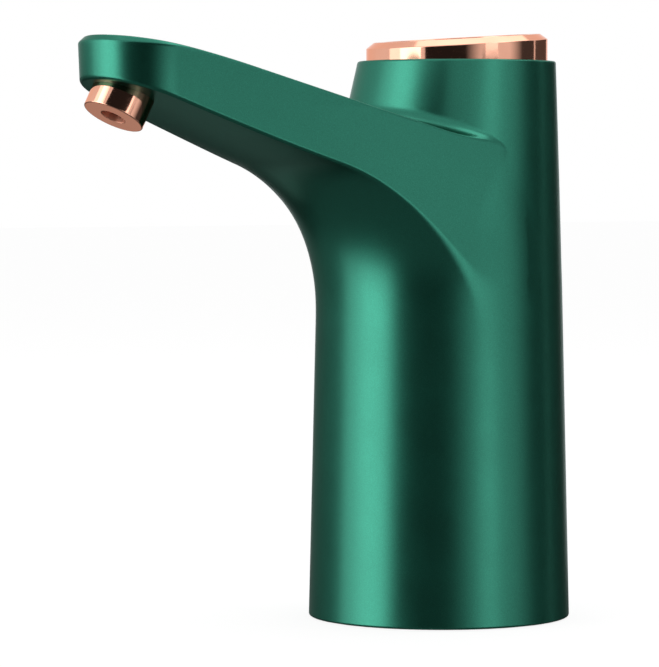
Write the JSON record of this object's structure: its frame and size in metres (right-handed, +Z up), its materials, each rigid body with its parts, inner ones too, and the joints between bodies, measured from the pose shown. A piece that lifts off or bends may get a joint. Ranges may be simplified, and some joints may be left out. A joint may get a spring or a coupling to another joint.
{
  "type": "electric water jug pump",
  "caption": "Electric pump that sits on a water jug's neck: tapered round body, flat rising spout arm with a tilted nozzle, and a push key in a plated disc on top.",
  "frame": {"origin": "on the jug socket's axis, in the plane of the foot", "axes": "+Z up along the socket's axis, the spout arm along -X"},
  "size_m": [0.1436, 0.068, 0.152],
  "materials": {
    "body_green": "satin metallic green paint over moulded plastic",
    "rose_gold": "rose-gold plating",
    "pale_plastic": "natural moulded plastic",
    "black_plastic": "black moulded plastic",
    "red_plastic": "red moulded plastic",
    "board_green": "green solder mask",
    "cell_wrap": "film-wrapped cell",
    "bright_steel": "plain bright steel",
    "dark_iron": "dark sintered and laminated iron",
    "bronze": "plain bronze and brass",
    "grey_rubber": "soft grey rubber",
    "clear_silicone": "milky silicone",
    "wire_red": "insulated lead",
    "wire_black": "insulated lead"
  },
  "bodies": {
    "case": {"housing": "body_green", "spout_lid": "body_green", "nozzle": "rose_gold", "bezel": "rose_gold", "inner_frame": "pale_plastic", "neck_adapter": "pale_plastic", "battery_cap": "pale_plastic", "pump_body": "pale_plastic", "pump_cover": "pale_plastic", "outlet_elbow": "pale_plastic", "button_carrier": "black_plastic", "switch_body": "black_plastic", "motor_end_cap": "black_plastic", "control_board": "board_green", "charge_board": "board_green", "battery_cell": "cell_wrap", "button_spring": "bright_steel", "board_screws": "bright_steel", "base_screws": "bright_steel", "pump_screws": "bright_steel", "cover_screws": "bright_steel", "motor_can": "bright_steel", "idler_pin": "bright_steel", "charge_socket": "bright_steel", "motor_magnets": "dark_iron", "motor_bushes": "bronze", "motor_terminals": "bronze", "neck_gasket": "grey_rubber", "shaft_seal": "grey_rubber", "delivery_hose": "clear_silicone", "inlet_hose": "clear_silicone", "battery_wires": "wire_red", "motor_wires": "wire_black"},
    "key": {"push_button": "rose_gold"},
    "switch_stem": {"switch_plunger": "red_plastic"},
    "rotor": {"motor_shaft": "bright_steel", "armature": "dark_iron", "drive_gear": "pale_plastic"},
    "driven_wheel": {"driven_gear": "pale_plastic"}
  },
  "joints": [
    {"name": "key_press", "type": "slide", "parent": "case", "child": "key", "axis": [0, 0, -1], "range_m": [0, 0.001], "stiffness_N_per_m": 1500, "springref_m": -0.0005, "deforming": ["button_spring"]},
    {"name": "switch_press", "type": "slide", "parent": "case", "child": "switch_stem", "axis": [0, 0, -1], "range_m": [0, 0.001]},
    {"name": "rotor_spin", "type": "hinge", "parent": "case", "child": "rotor", "pos_m": [-0.005, 0.00485, 0.06], "axis": [0, 0, 1], "continuous": true},
    {"name": "driven_spin", "type": "hinge", "parent": "case", "child": "driven_wheel", "pos_m": [-0.005, -0.00485, 0.05], "axis": [0, 0, 1], "continuous": true}
  ],
  "couplings": [
    {"joint": "switch_press", "follows": "key_press", "ratio": 1},
    {"joint": "driven_spin", "follows": "rotor_spin", "ratio": -1}
  ]
}
